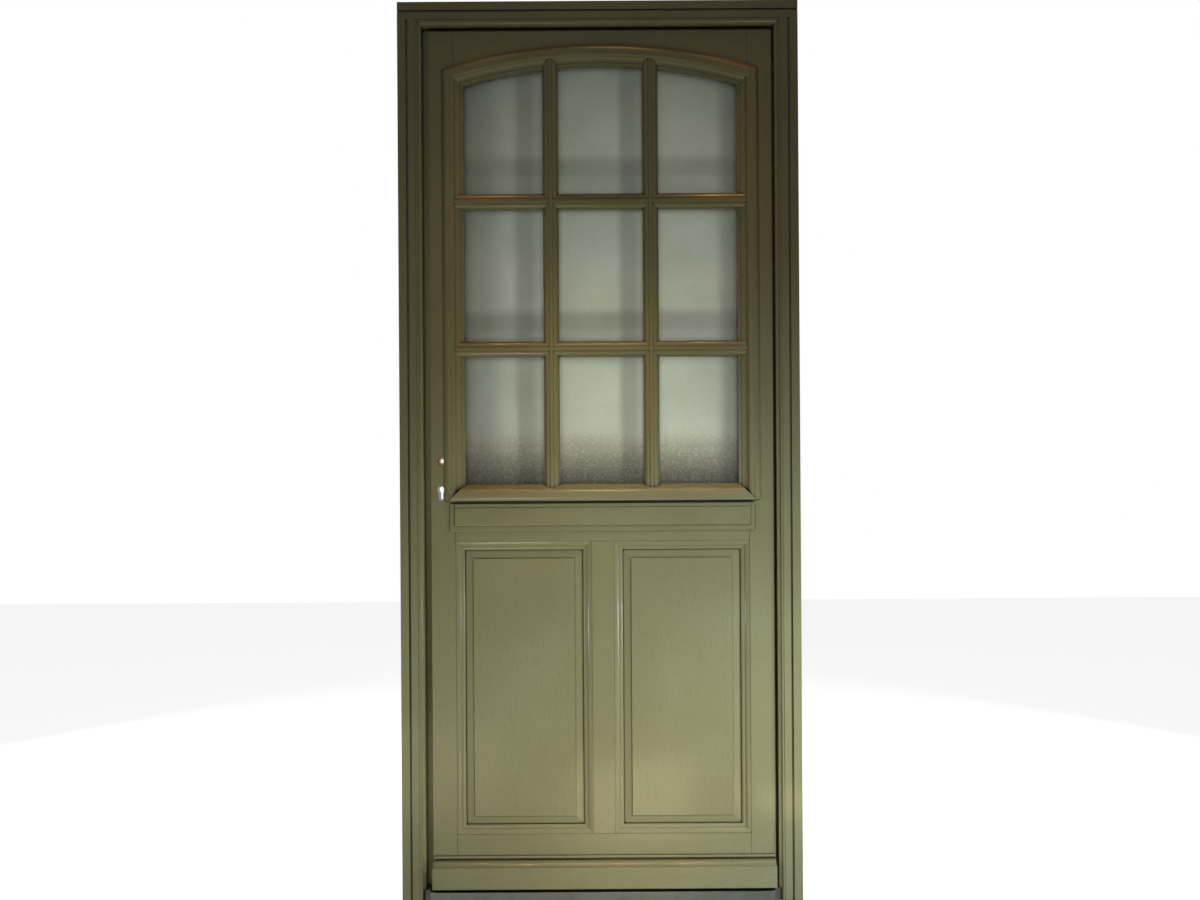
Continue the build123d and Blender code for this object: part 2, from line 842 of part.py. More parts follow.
def rail_tenon_pair(z):
    """Tenons at both ends of a rail."""
    tenon((opening_left - tenon_length, opening_left), z)
    tenon((opening_right, opening_right + tenon_length), z)


def shoulder_line(x, z):
    """The fine line left open on the outside where a shoulder meets its neighbour."""
    block(x, (leaf_face, leaf_face + joint_line), z, mode=Mode.SUBTRACT)


def rail_shoulder_lines(z):
    """Shoulder lines at both ends of a rail."""
    shoulder_line((opening_left, opening_left + joint_line), z)
    shoulder_line((opening_right - joint_line, opening_right), z)


muntin_x = (centre - muntin_half, centre + muntin_half)
muntin_tenon_x = (centre - muntin_half + arris, centre + muntin_half - arris)

with BuildPart() as rail_bottom:
    block((opening_left, opening_right), (leaf_face, leaf_rebate), (leaf_foot, bottom_rail_top))
    block((opening_left, opening_right), (leaf_rebate, frame_depth), (leaf_foot_edge, bottom_rail_top))
    rail_tenon_pair(rail_tenons[0])
    add(left_runs["foot"])
    add(right_runs["foot"])
    mortise(muntin_tenon_x, (bottom_rail_top - tenon_length / 2 - tenon_end_gap, bottom_rail_top))
    rail_shoulder_lines((leaf_foot, bottom_rail_top))
save(rail_bottom.part, "rail_bottom")

with BuildPart() as rail_mid:
    block((opening_left, opening_right), (leaf_face, frame_depth), (mid_rail_bottom, mid_rail_top))
    rail_tenon_pair(rail_tenons[1])
    add(left_runs["top"])
    add(right_runs["top"])
    mortise(muntin_tenon_x, (mid_rail_bottom, mid_rail_bottom + tenon_length / 2 + tenon_end_gap))
    rail_shoulder_lines((mid_rail_bottom, mid_rail_top))
save(rail_mid.part, "rail_mid")

with BuildPart() as muntin:
    block(muntin_x, (leaf_face, frame_depth), (bottom_rail_top, mid_rail_bottom))
    add(left_runs["right"])
    add(right_runs["left"])
    half_tenon = tenon_length / 2
    tongue_x = (muntin_tenon_x[0] + arris, muntin_tenon_x[1] - arris)
    tenon(tongue_x, (bottom_rail_top - half_tenon, bottom_rail_top))
    tenon(tongue_x, (mid_rail_bottom, mid_rail_bottom + half_tenon))
    shoulder_line(muntin_x, (bottom_rail_top, bottom_rail_top + joint_line))
    shoulder_line(muntin_x, (mid_rail_bottom - joint_line, mid_rail_bottom))
save(muntin.part, "muntin")

opening_radius = arch_radius + rebate_width
with BuildPart() as rail_top:
    foot = arch_height(opening_half, opening_radius) - arris
    block((opening_left, opening_right), (leaf_face, leaf_rebate), (foot, leaf_head))
    block((opening_left, opening_right), (leaf_rebate, frame_depth), (foot, leaf_head_edge))
    extrude(arched_face(opening_half, glass_foot, opening_radius, 0), amount=-frame_depth, mode=Mode.SUBTRACT)
    rail_tenon_pair(rail_tenons[2])
    rail_shoulder_lines((foot, leaf_head))
save(rail_top.part, "rail_top")

# Raised panels, loose in their grooves
tongue = panel_groove_depth - panel_end_gap
groove_front = leaf_face + panel_groove_front
panel_y = (groove_front + panel_gap, groove_front + panel_groove_width - panel_gap)
panel_foot, panel_head = bottom_rail_top + stuck_width, mid_rail_bottom - stuck_width


def panel(left, right):
    """A panel: thin edge in the groove, a bevel, and the raised field with a small step."""
    middle = Vector((left + right) / 2, 0, (panel_foot + panel_head) / 2)
    wide, tall = right - left, panel_head - panel_foot
    front = panel_y[0]
    with BuildPart() as board:
        block((left - tongue, right + tongue), panel_y, (panel_foot - tongue, panel_head + tongue))
        for depth, inset in ((front, 0), (front - panel_bevel_rise, panel_bevel)):
            with BuildSketch(Plane.XZ.offset(-depth)):
                with Locations((middle.X, middle.Z)):
                    Rectangle(wide - 2 * inset, tall - 2 * inset)
        loft()
        with BuildSketch(Plane.XZ.offset(panel_bevel_rise - front)):
            with Locations((middle.X, middle.Z)):
                Rectangle(wide - 2 * panel_bevel, tall - 2 * panel_bevel)
        extrude(amount=panel_field_rise)
    return board.part


save(panel(opening_left + stuck_width, centre - muntin_half - stuck_width), "panel_left")
save(panel(centre + muntin_half + stuck_width, opening_right - stuck_width), "panel_right")

# Raised moulding round the glass
sill_cut = Plane(origin=(0, 0, glass_foot - sill_height), z_dir=(0, 0, 1))
surround = {}
for name, outward in (("left", LEFT), ("right", RIGHT)):
    with BuildPart() as side:
        add(side_run(glazing_section, outward, glass_foot - cove_toe_width))
        split(bisect_by=sill_cut, keep=Keep.TOP)
    surround[name] = side.part
surround["arch"] = arch_run(glazing_section, cove_toe_width)
surround["sill"] = mitred_run(sill_section, sill_height, sight_right, glass_foot, DOWN, 2 * glass_half_width)
for name, piece in surround.items():
    save(piece, f"glazing_moulding_{name}")

# Glazing bars outside, uprights through and bars across scribed to them
bar_columns = (centre - bar_spacing, centre + bar_spacing)
bar_rows = {"lower": bar_lower, "upper": bar_upper}


def uprights(section, x, stops):
    """The left upright bar, scribed to the mouldings it runs into, and its mirror image."""
    with BuildPart() as bar:
        extrude(
            section(run_plane(x, glass_foot - bar_lap, LEFT)), amount=arch_crown - glass_foot + 2 * bar_lap
        )
        extrude(
            arched_face(glass_half_width, glass_foot - bar_lap, arch_radius + bar_lap, 0),
            amount=-frame_depth, mode=Mode.INTERSECT,
        )
        for stop in stops:
            add(stop, mode=Mode.SUBTRACT)
    return bar.part, mirror(bar.part, about=Plane.YZ.offset(centre))


def across(section, z, stops):
    """The three lengths of a bar across, scribed to the uprights and the side mouldings."""
    with BuildPart() as bar:
        extrude(
            section(run_plane(sight_left - bar_lap, z, UP)), amount=2 * (glass_half_width + bar_lap)
        )
        for stop in stops:
            add(stop, mode=Mode.SUBTRACT)
    # The chips that scribing leaves in the quirks of the uprights fall away
    return Compound(bar.solids().sort_by(SortBy.VOLUME)[-len(bar_columns) - 1:])


outer_uprights = uprights(bar_section, bar_columns[0], [surround["arch"], surround["sill"]])
for name, piece in zip(("left", "right"), outer_uprights):
    save(piece, f"bar_outer_{name}")
for name, z in bar_rows.items():
    save(across(bar_section, z, [surround["left"], surround["right"], *outer_uprights]), f"bars_outer_{name}")

# Glazing beads and bars inside
inner = {
    "left": side_run(glazing_bead_section, LEFT, glass_foot - rebate_width),
    "right": side_run(glazing_bead_section, RIGHT, glass_foot - rebate_width),
    "arch": arch_run(glazing_bead_section, rebate_width),
    "foot": mitred_run(
        glazing_bead_section, rebate_width, sight_right, glass_foot, DOWN, 2 * glass_half_width
    ),
}
for name, piece in inner.items():
    save(piece, f"glazing_bead_{name}")
inner_uprights = uprights(inner_bar_section, bar_columns[0], [inner["arch"], inner["foot"]])
for name, piece in zip(("left", "right"), inner_uprights):
    save(piece, f"bar_inner_{name}")
for name, z in bar_rows.items():
    save(across(inner_bar_section, z, [inner["left"], inner["right"], *inner_uprights]), f"bars_inner_{name}")

# Insulating glass on setting blocks
pane_half = opening_half - glass_edge_gap
pane_foot = mid_rail_top + glass_edge_gap
pane_radius = opening_radius - glass_edge_gap
inner_pane_depth = glass_depth + pane_thickness + spacer_thickness
for name, depth in (("glass_outer", glass_depth), ("glass_inner", inner_pane_depth)):
    with BuildPart() as pane:
        extrude(arched_face(pane_half, pane_foot, pane_radius, depth), amount=-pane_thickness)
    save(pane.part, name)

with BuildPart() as glass_spacer:
    spacer_depth = glass_depth + pane_thickness
    extrude(arched_face(pane_half, pane_foot, pane_radius, spacer_depth), amount=-spacer_thickness)
    extrude(
        arched_face(
            pane_half - spacer_width, pane_foot + spacer_width, pane_radius - spacer_width, spacer_depth
        ),
        amount=-spacer_thickness, mode=Mode.SUBTRACT,
    )
save(glass_spacer.part, "glass_spacer")

with BuildPart() as setting_blocks:
    for side in (opening_left + block_inset, opening_right - block_inset - block_length):
        block((side, side + block_length), (glass_depth, glass_back), (mid_rail_top, pane_foot))
save(setting_blocks.part, "setting_blocks")

# Belt plaque: a thin base with a moulded field returned at both ends and along the foot
with BuildPart() as belt_plaque:
    base_y = (leaf_face - plaque_base, leaf_face)
    field_y = (leaf_face - plaque_base - plaque_field, leaf_face - plaque_base)
    block((centre - plaque_half_width, centre + plaque_half_width), base_y, (plaque_bottom, plaque_top))
    base_front = belt_plaque.faces().sort_by(Axis.Y)[0]
    chamfer(base_front.edges().sort_by(Axis.Z)[:1], plaque_base - arris, plaque_ogee)
    with BuildSketch(Plane.XZ.offset(-base_y[0])):
        with BuildLine():
            left = centre - plaque_half_width + plaque_margin
            right = centre + plaque_half_width - plaque_margin
            Polyline(
                (left, plaque_bottom + plaque_foot_margin), (right, plaque_bottom + plaque_foot_margin),
                (right, plaque_top), (left, plaque_top), close=True,
            )
        make_face()
    extrude(amount=plaque_field)
    front = belt_plaque.faces().sort_by(Axis.Y)[0]
    fillet(front.edges().sort_by(Axis.Z)[:-1], plaque_ogee)
    groove_z = (plaque_top - plaque_bead - plaque_groove, plaque_top - plaque_bead)
    block(
        (centre - plaque_half_width, centre + plaque_half_width),
        (field_y[0] - arris, field_y[0] + plaque_groove), groove_z, mode=Mode.SUBTRACT,
    )
save(belt_plaque.part, "belt_plaque")

# Weatherboard along the foot of the leaf
with BuildPart() as weatherboard:
    nose = leaf_face - board_projection
    bead_front = leaf_face - board_bead
    quirk_back = leaf_face - board_quirk_depth + arris
    quirk_top = board_top - board_bead
    quirk_foot = quirk_top - board_quirk
    slope_top = (bead_front - 2 * arris, quirk_foot)
    crest = (nose + board_projection / 2, board_crest)
    round_top = (crest[0], board_crest - 2 * arris)
    drip_front, drip_back = nose + 2 * board_drip, nose + 3 * board_drip
    with BuildSketch(Plane.YZ.offset(centre - board_half_width)):
        with BuildLine():
            Polyline(
                (leaf_face, board_bottom), (leaf_face, board_top), (bead_front + arris, board_top),
                (bead_front, board_top - arris), (bead_front, quirk_top), (quirk_back, quirk_top),
                (quirk_back, quirk_foot), slope_top,
            )
            SagittaArc(slope_top, crest, -arris)
            Line(crest, round_top)
            SagittaArc(round_top, (nose + arris, board_face_top), board_round)
            Polyline(
                (nose + arris, board_face_top), (nose, board_face_top - arris),
                (nose, board_bottom + board_nose_radius),
            )
            RadiusArc(
                (nose, board_bottom + board_nose_radius), (nose + board_nose_radius, board_bottom),
                -board_nose_radius,
            )
            Polyline(
                (nose + board_nose_radius, board_bottom), (drip_front, board_bottom),
                (drip_front, board_bottom + board_drip), (drip_back, board_bottom + board_drip),
                (drip_back, board_bottom), (leaf_face, board_bottom),
            )
        make_face()
    extrude(amount=2 * board_half_width)
save(weatherboard.part, "weatherboard")

# Hinges


def hinge_half(side, foot, bore_foot, bore_top):
    """One half of a lift-off hinge: a knuckle and a flag let in flush with the wood."""
    z = (foot, foot + knuckle_length)
    flag = (rebate, rebate + flag_thickness) if side > 0 else (edge_half - flag_thickness, edge_half)
    with BuildPart() as half:
        with BuildSketch(Plane.XY.offset(foot)):
            with Locations((hinge_x, hinge_y)):
                Circle(knuckle_diameter / 2)
        extrude(amount=knuckle_length)
        block(flag, (frame_depth - flag_width, hinge_y), z)
        with BuildSketch(Plane.XY.offset(bore_foot)):
            with Locations((hinge_x, hinge_y)):
                Circle(pin_diameter / 2 + pin_gap)
        extrude(amount=bore_top - bore_foot, mode=Mode.SUBTRACT)
        out = LEFT if side > 0 else RIGHT
        x = rebate if side > 0 else edge_half
        for step in edge_screws:
            screw_hole((x, hinge_screw_depth, foot + knuckle_length / 2 + step), out)
    return half.part


with BuildPart() as hinge_pins:
    for height in hinge_heights:
        pin_foot = height - knuckle_length + pin_inset
        pin_top = height + leaf_half_lift + knuckle_length - pin_inset
        with Locations((hinge_x, hinge_y, (pin_foot + pin_top) / 2)):
            Cylinder(pin_diameter / 2, pin_top - pin_foot)
save(hinge_pins.part, "hinge_pins")

with BuildPart() as hinge_rings:
    for height in hinge_heights:
        with Locations((hinge_x, hinge_y, height + ring_thickness / 2)):
            Cylinder(knuckle_diameter / 2, ring_thickness)
            Cylinder(pin_diameter / 2 + pin_gap, ring_thickness, mode=Mode.SUBTRACT)
save(hinge_rings.part, "hinge_rings")

for name, height in zip(("lower", "middle", "upper"), hinge_heights):
    frame_foot = height - knuckle_length
    leaf_half_foot = height + leaf_half_lift
    save(hinge_half(1, frame_foot, frame_foot + pin_inset, height), f"hinge_frame_{name}")
    save(
        hinge_half(-1, leaf_half_foot, leaf_half_foot, leaf_half_foot + knuckle_length - pin_inset + pin_gap),
        f"hinge_leaf_{name}",
    )

for name, screw_sets in (
    ("frame_screws", ((frame_screw_points, LEFT), (strike_screw_points, RIGHT))),
    ("leaf_screws", ((leaf_screw_points, RIGHT), (faceplate_screw_points, LEFT))),
):
    with BuildPart() as screws:
        for points, out in screw_sets:
            for point in points:
                screw(point, out)
    save(screws.part, name)

# Lock: faceplate, case, follower, latch, deadbolt and two hooks
channel_y = (lock_middle - bolt_thickness / 2 - slide_gap, lock_middle + bolt_thickness / 2 + slide_gap)
hook_slot_y = (lock_middle - hook_thickness / 2 - slide_gap, lock_middle + hook_thickness / 2 + slide_gap)

with BuildPart() as lock_faceplate:
    block(
        (-edge_half, lock_face), (lock_middle - faceplate_width / 2, lock_middle + faceplate_width / 2),
        (faceplate_bottom, faceplate_top),
    )
    for z in (latch_z, bolt_z):
        block((-edge_half, lock_face), channel_y, upper(z, slide_gap), mode=Mode.SUBTRACT)
    for z in hook_z:
        block((-edge_half, lock_face), hook_slot_y, z, mode=Mode.SUBTRACT)
    for point in faceplate_screw_points:
        screw_hole(point, LEFT)
save(lock_faceplate.part, "lock_faceplate")

bolt_tip = bolt_inset - edge_half
with BuildPart() as lock_case:
    block(case_x, case_y, case_z)
    for z, length in ((latch_z, latch_length), (bolt_z, bolt_length)):
        block(
            (lock_face, bolt_tip + length + 2 * slide_gap), channel_y, upper(z, slide_gap), mode=Mode.SUBTRACT
        )
    with Locations(Plane(origin=(spindle_x, case_y[0], spindle_height), z_dir=FORWARD)):
        Hole(follower_diameter / 2, depth=case_thickness)
    profile_hole(case_y)
save(lock_case.part, "lock_case")

with BuildPart() as follower:
    with BuildSketch(Plane.XZ.offset(-case_y[0])):
        with Locations((spindle_x, spindle_height)):
            Circle(follower_diameter / 2 - follower_gap)
            Rectangle(follower_square, follower_square, mode=Mode.SUBTRACT)
    extrude(amount=-case_thickness)
save(follower.part, "follower")

with BuildPart() as latch_bolt:
    block(
        (bolt_tip, bolt_tip + latch_length),
        (lock_middle - latch_thickness / 2, lock_middle + latch_thickness / 2), latch_z,
    )
    nose_edge = latch_bolt.faces().sort_by(Axis.X)[0].edges().sort_by(Axis.Y)[-1]
    chamfer(nose_edge, latch_thickness - arris, latch_thickness - arris)
save(latch_bolt.part, "latch_bolt")

with BuildPart() as deadbolt:
    block(
        (bolt_tip, bolt_tip + bolt_length),
        (lock_middle - bolt_thickness / 2, lock_middle + bolt_thickness / 2), bolt_z,
    )
save(deadbolt.part, "deadbolt")

hook_x = hook_pivot_inset - edge_half
for name, height, slot in zip(("lower", "upper"), hook_heights, hook_z):
    sweep_radius = sqrt(hook_reach**2 + (hook_arm / 2 + hook_nose) ** 2) + slide_gap
    with BuildPart() as hook_case:
        block(hook_case_x, case_y, (height - hook_case_half, height + hook_case_half))
        with BuildSketch(Plane.XZ.offset(-hook_slot_y[1])):
            with Locations((hook_x, height)):
                Circle(sweep_radius)
        extrude(amount=hook_slot_y[1] - hook_slot_y[0], mode=Mode.SUBTRACT)
        with Locations((hook_x, lock_middle, height)):
            Cylinder(hook_pin_diameter / 2, case_thickness, rotation=(90, 0, 0))
    save(hook_case.part, f"hook_case_{name}")
    with BuildPart() as hook:
        with BuildSketch(Plane.XZ.offset(hook_thickness / 2 - lock_middle - hook_thickness)):
            with Locations((hook_x, height)):
                Circle(hook_arm / 2)
            with Locations((hook_x, height - hook_reach / 2)):
                Rectangle(hook_arm, hook_reach)
            with Locations((hook_x - hook_arm / 2, height - hook_reach)):
                Rectangle(hook_nose, hook_nose_thickness, align=(Align.MAX, Align.MIN))
            with Locations((hook_x, height)):
                Circle(hook_pin_diameter / 2 + hook_pin_gap, mode=Mode.SUBTRACT)
        extrude(amount=hook_thickness)
    save(hook.part, f"hook_{name}")
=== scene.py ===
# %% [markdown]
# # A half-glazed wooden entrance door in its frame
# The CAD model brings every joinery part, the lock and the hinges in their exact places. This
# lesson gives them their finishes, sets up the light and the camera of the photograph, and leaves
# the shapes of the parts as they are.

# %% Load the model
import json
from math import pi, radians

import bpy
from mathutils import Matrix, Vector


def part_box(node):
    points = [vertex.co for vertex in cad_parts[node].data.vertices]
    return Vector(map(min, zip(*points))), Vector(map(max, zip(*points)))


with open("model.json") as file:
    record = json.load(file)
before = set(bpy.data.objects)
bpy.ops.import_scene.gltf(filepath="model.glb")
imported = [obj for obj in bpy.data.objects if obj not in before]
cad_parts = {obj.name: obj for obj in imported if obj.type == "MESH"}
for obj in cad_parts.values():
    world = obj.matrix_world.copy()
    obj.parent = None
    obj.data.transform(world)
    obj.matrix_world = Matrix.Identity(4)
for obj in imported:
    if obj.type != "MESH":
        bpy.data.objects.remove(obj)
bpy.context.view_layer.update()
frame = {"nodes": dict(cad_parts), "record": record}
nodes = frame["nodes"]
print("parts loaded:", len(nodes))

# %% [markdown]
# ## Units
# The scene is in metres, but a joiner's sizes are in millimetres. Every pattern below is given by
# the real size of one pore, grain or patch, and one stile is measured here to compare them with.

# %% Millimetres, and the size of one stile
MM = 0.001
stile_low, stile_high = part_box("stile_lock_side")
print("lock stile in mm:", [round((high - low) / MM) for low, high in zip(stile_low, stile_high)])

# %% [markdown]
# ## The camera
# The photograph is 1200 pixels wide and looks straight at the door from 3.5 m, at 1.09 m height.
# Its verticals lean by a little over a third of a degree, so the camera is turned by as much
# about its line of sight, given in radians. The focal length follows from the frame's width in
# pixels, so no framing is done by eye.

# %% Camera of the photograph
IMAGE_WIDTH = 1200
PIXELS_PER_RADIAN = 1452
SENSOR_WIDTH = 36.0
CAMERA_DISTANCE = 3.5
CAMERA_HEIGHT = 1.09
CAMERA_LEAN = 0.0065

camera_data = bpy.data.cameras.new("door_camera")
camera_data.sensor_width = SENSOR_WIDTH
camera_data.sensor_fit = "HORIZONTAL"
camera_data.lens = SENSOR_WIDTH * PIXELS_PER_RADIAN / IMAGE_WIDTH
camera = bpy.data.objects.new("door_camera", camera_data)
camera.location = (0.0, -CAMERA_DISTANCE, CAMERA_HEIGHT)
camera.rotation_euler = (pi / 2, CAMERA_LEAN, 0.0)
bpy.context.scene.collection.objects.link(camera)
bpy.context.scene.camera = camera
print("lens in mm:", round(camera_data.lens, 2))

# %% [markdown]
# ## Colours
# Screens store colours with a curve, while the renderer adds light on a straight scale. One
# function turns a written colour into the renderer's numbers, and another gives a plain grey of
# any strength.

# %% Colour helpers


def linear(hex_colour):
    """A colour written as on screen, as the four numbers that a shader takes."""
    channels = [int(hex_colour[i:i + 2], 16) / 255 for i in (1, 3, 5)]
    straight = [c / 12.92 if c <= 0.04045 else ((c + 0.055) / 1.055) ** 2.4 for c in channels]
    return (*straight, 1.0)


def grey(strength):
    """A grey of the given strength, where 1 is white."""
    return (strength, strength, strength, 1.0)


print("white as the shader sees it:", linear("#FFFFFF"))

# %% [markdown]
# ## Nodes
# A finish is a chain of nodes. One function adds any node, sets its sockets and links them, so
# that each finish below reads as a short list of layers. The finishes are kept under the name of
# the material slot that the CAD model gives its parts.

# %% Node helpers


def add_node(tree, kind, inputs=None, **settings):
    """Add a node, set its properties, and fill or link its inputs by name or number."""
    made = tree.nodes.new(kind)
    for name, value in settings.items():
        setattr(made, name, value)
    for name, value in (inputs or {}).items():
        if isinstance(value, bpy.types.NodeSocket):
            tree.links.new(value, made.inputs[name])
        else:
            made.inputs[name].default_value = value
    return made


def set_ramp(ramp_node, stops):
    """Place the stops of a colour ramp, each a written colour or the strength of a grey."""
    ramp_stops = ramp_node.color_ramp.elements
    while len(ramp_stops) < len(stops):
        ramp_stops.new(0.5)
    for ramp_stop, (place, tone) in zip(ramp_stops, stops):
        ramp_stop.position = place
        ramp_stop.color = linear(tone) if isinstance(tone, str) else grey(tone)


def new_finish(name):
    """An empty material with one output, ready for its layers."""
    finish = bpy.data.materials.new(name)
    finish.use_nodes = True
    finish.node_tree.nodes.clear()
    output = add_node(finish.node_tree, "ShaderNodeOutputMaterial")
    return finish, finish.node_tree, output


def stretched(size_along, size_across, along):
    """The scale of a pattern that is longer along X or Z than it is across."""
    length, across = 1 / size_along, 1 / size_across
    return (length, across, across) if along == "X" else (across, across, length)


finish_of_slot = {}
print("scale of a 20 mm by 1 mm pattern along X:", stretched(20 * MM, 1 * MM, "X"))

# %% [markdown]
# ## Satin paint on open-grained hardwood
# The door is hardwood, sprayed with a sage green satin paint. The paint fills the wood's pores
# only in part, so short fine grooves still run along the grain, and the film itself has a faint
# orange peel. Stiles have their grain upright, rails have it level, so the finish is made twice
# with its pattern turned. Pores are about 0.4 mm wide and 12 mm long. They are drawn a little
# coarser, because the real ones would be finer than a pixel. The paint is darker with painted
# shade wherever a surface lies closed in within a few millimetres, in quirks and joints. A dried
# paint film has an IOR near 1.48. Its own gloss is kept low, and a thin smoother coat gives the
# satin its sheen.

# %% Satin green paint
PORE_WIDTH, PORE_LENGTH, PORE_DEPTH = 0.9 * MM, 22 * MM, 0.06 * MM
PEEL_SIZE, PEEL_DEPTH = 1.6 * MM, 0.04 * MM
TONE_PATCH = 260 * MM
# Reach, samples and tones of the painted shade in quirks and joints.
CREVICE_SHADE_REACH, CREVICE_SHADE_SAMPLES = 8 * MM, 8
PORE_EDGES = [(0.3, 0.0), (0.48, 1.0)]
PORE_COLOUR = "#747254"
PAINT_TONES = [(0.3, "#7A7857"), (0.55, "#7F7E5D"), (0.75, "#838364")]
CREVICE_SHADE_TONES = [(0.38, "#14120A"), (0.58, "#7A7762"), (0.78, "#FFFFFF")]


def sage_paint(name, along):
    """Sage green satin paint with the grain of the wood running along X or Z."""
    finish, tree, output = new_finish(name)
    place = add_node(tree, "ShaderNodeTexCoord").outputs["Object"]
    grain_space = add_node(
        tree, "ShaderNodeMapping",
        {"Vector": place, "Scale": stretched(PORE_LENGTH, PORE_WIDTH, along)},
    )
    pores = add_node(
        tree, "ShaderNodeTexNoise",
        {"Vector": grain_space.outputs[0], "Scale": 1.0, "Detail": 2.0, "Roughness": 0.6},
    )
    pore_marks = add_node(tree, "ShaderNodeValToRGB", {0: pores.outputs["Fac"]})
    set_ramp(pore_marks, PORE_EDGES)
    tone = add_node(
        tree, "ShaderNodeTexNoise", {"Vector": place, "Scale": 1 / TONE_PATCH, "Detail": 3.0},
    )
    tones = add_node(tree, "ShaderNodeValToRGB", {0: tone.outputs["Fac"]})
    set_ramp(tones, PAINT_TONES)
    colour = add_node(
        tree, "ShaderNodeMix",
        {"Factor": pore_marks.outputs[0], "A": linear(PORE_COLOUR), "B": tones.outputs[0]},
        data_type="RGBA",
    )
    # Painted shade: the paint turns darker wherever ambient occlusion finds a surface closed in.
    closed_in = add_node(
        tree, "ShaderNodeAmbientOcclusion", {"Distance": CREVICE_SHADE_REACH}, samples=CREVICE_SHADE_SAMPLES,
    )
    crevice_shade_ramp = add_node(tree, "ShaderNodeValToRGB", {0: closed_in.outputs["AO"]})
    set_ramp(crevice_shade_ramp, CREVICE_SHADE_TONES)
    shaded_paint_colour = add_node(
        tree, "ShaderNodeMix",
        {"Factor": 1.0, "A": colour.outputs["Result"], "B": crevice_shade_ramp.outputs[0]},
        data_type="RGBA", blend_type="MULTIPLY",
    )
    pore_dents = add_node(
        tree, "ShaderNodeBump",
        {"Height": pore_marks.outputs[0], "Strength": 0.16, "Distance": PORE_DEPTH},
    )
    peel = add_node(
        tree, "ShaderNodeTexNoise", {"Vector": place, "Scale": 1 / PEEL_SIZE, "Detail": 1.0},
    )
    peel_waves = add_node(
        tree, "ShaderNodeBump",
        {"Height": peel.outputs["Fac"], "Strength": 0.3, "Distance": PEEL_DEPTH,
         "Normal": pore_dents.outputs[0]},
    )
    dullness = add_node(
        tree, "ShaderNodeMapRange",
        {"Value": tone.outputs["Fac"], "To Min": 0.3, "To Max": 0.4},
    )
    paint = add_node(
        tree, "ShaderNodeBsdfPrincipled",
        {"Base Color": shaded_paint_colour.outputs["Result"], "Roughness": dullness.outputs[0],
         "Normal": peel_waves.outputs[0], "IOR": 1.48, "Specular IOR Level": 0.12,
         "Coat Weight": 0.2, "Coat Roughness": 0.14},
    )
    tree.links.new(paint.outputs[0], output.inputs[0])
    return finish


paint_upright = sage_paint("sage_satin_paint_upright_grain", "Z")
paint_level = sage_paint("sage_satin_paint_level_grain", "X")
print("paint finishes:", paint_upright.name, paint_level.name)

# %% [markdown]
# ## Shades in the panes
# The room behind a pane can't be seen through obscure glass, but it leaves soft shades: darker
# bands beside and above the outer bars, where the bars on the room side stand close behind, and a
# darker rim where the frame takes light away. They could come from a furnished room, but the part
# has to carry them wherever it stands. So they are painted into the glass as shade, along the
# width and the height of the pane, and its upper part is painted darker too, where less light
# falls.

# %% Shades across and up the pane
GLASS_LOW, GLASS_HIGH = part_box("glass_outer")
SHADE_ACROSS = [
    (0.0, 0.3), (0.08, 0.52), (0.19, 0.8), (0.225, 0.56), (0.255, 0.56), (0.285, 0.74),
    (0.33, 0.8), (0.365, 0.88), (0.55, 0.93), (0.582, 0.64), (0.61, 0.64), (0.637, 0.86),
    (0.68, 0.92), (0.71, 0.98), (0.89, 0.9), (0.935, 0.58), (0.985, 0.42),
]
SHADE_UPWARD = [
    (0.012, 0.2), (0.04, 0.31), (0.07, 0.5), (0.1, 0.72), (0.14, 0.87), (0.29, 0.86),
    (0.345, 0.68), (0.368, 0.64), (0.382, 0.53), (0.402, 0.53), (0.43, 0.78), (0.64, 0.68),
    (0.71, 0.52), (0.725, 0.5), (0.738, 0.42), (0.758, 0.42), (0.785, 0.58), (0.95, 0.45),
]


def shade_along(tree, place_axis, low, high, stops):
    """A soft shade whose strength follows one coordinate between two edges."""
    share = add_node(
        tree, "ShaderNodeMapRange", {"Value": place_axis, "From Min": low, "From Max": high},
    )
    shade = add_node(tree, "ShaderNodeValToRGB", {0: share.outputs[0]})
    set_ramp(shade, stops)
    shade.color_ramp.interpolation = "EASE"
    return shade.outputs[0]


print("outer pane, width in mm:", round((GLASS_HIGH[0] - GLASS_LOW[0]) / MM))

# %% [markdown]
# ## Granular obscure glass
# The outer pane is rolled with small round grains that scatter what lies behind it. Plain clear
# glass would show the room. A rough transmission with a grain of about 2 mm in its bump gives
# both the soft light and the fine sparkle. Glass has an IOR of 1.5. Rain throws grit up from the
# sill, so the foot of the pane is browner, and its palest specks are a painted sparkle.

# %% Obscure glass
GLASS_IOR = 1.5
GRAIN_SIZE, GRAIN_DEPTH, FROST_DEPTH = 2.2 * MM, 0.4 * MM, 0.2 * MM
HAZE_PATCH = 90 * MM
HAZE_TONES = [(0.3, "#DFE6D8"), (0.7, "#EBF2E6")]
# Size and height of the brown grit and the painted sparkle at the foot of the pane.
SPECK_SIZE, GRIT_AND_SPARKLE_HEIGHT = 4 * MM, 160 * MM
GRIT_AND_SPARKLE_TONES = [(0.38, "#AF9B76"), (0.58, "#E2D4BC"), (0.72, 1.5)]


